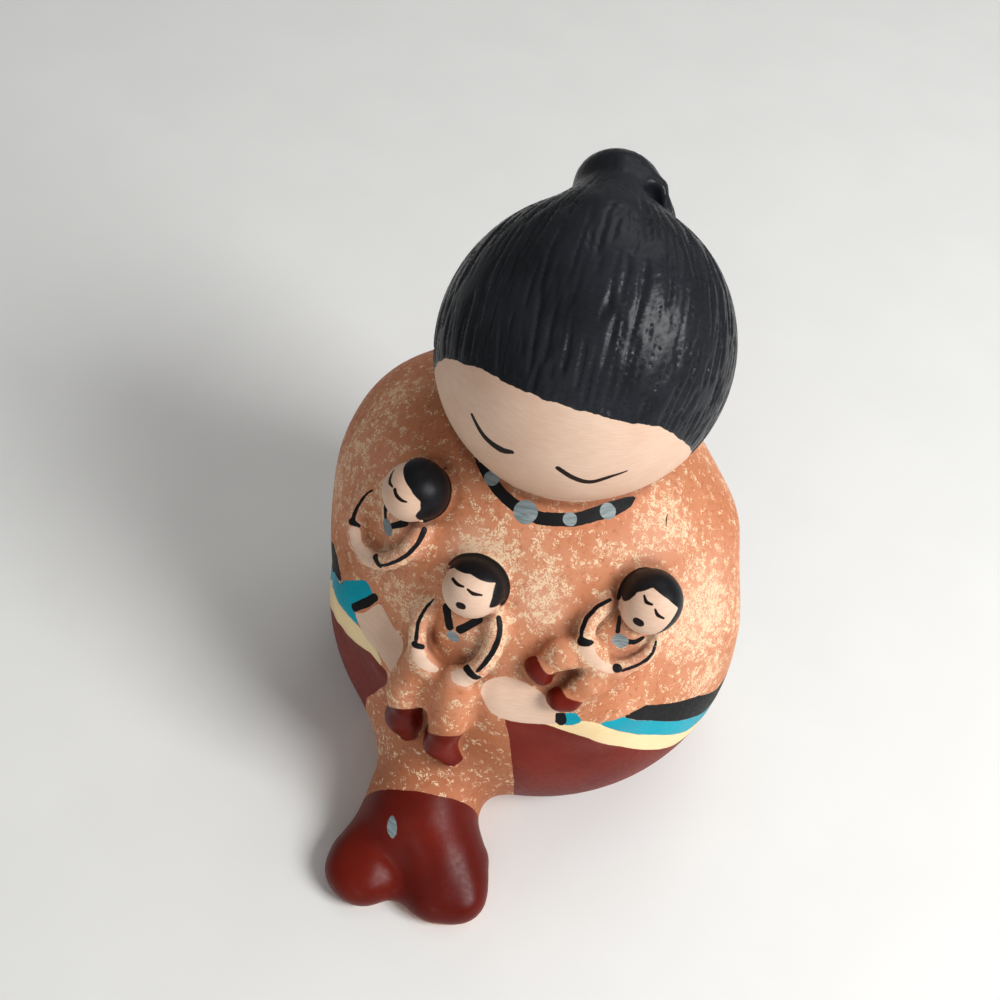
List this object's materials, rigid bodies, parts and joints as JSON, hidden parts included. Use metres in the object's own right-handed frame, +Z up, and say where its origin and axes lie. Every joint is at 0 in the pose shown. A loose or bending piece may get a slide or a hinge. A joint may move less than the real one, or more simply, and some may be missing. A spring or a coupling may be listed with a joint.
{
  "type": "pueblo storyteller figure",
  "caption": "Seated clay storyteller with a round head and coiled topknot, singing with closed eyes, and small children modelled in relief on the chest and lap.",
  "frame": {"origin": "middle of the figure's footprint box, on the flat underside", "axes": "+Z up through the head, the figure faces -Y with its feet stretched out that way, +X is the figure's left"},
  "size_m": [0.1026, 0.1258, 0.1432],
  "materials": {
    "painted_clay": "matt terracotta clay, hand painted in black, turquoise, cream, red and silver"
  },
  "bodies": {
    "root": {"storyteller_figure": "painted_clay"}
  },
  "joints": []
}
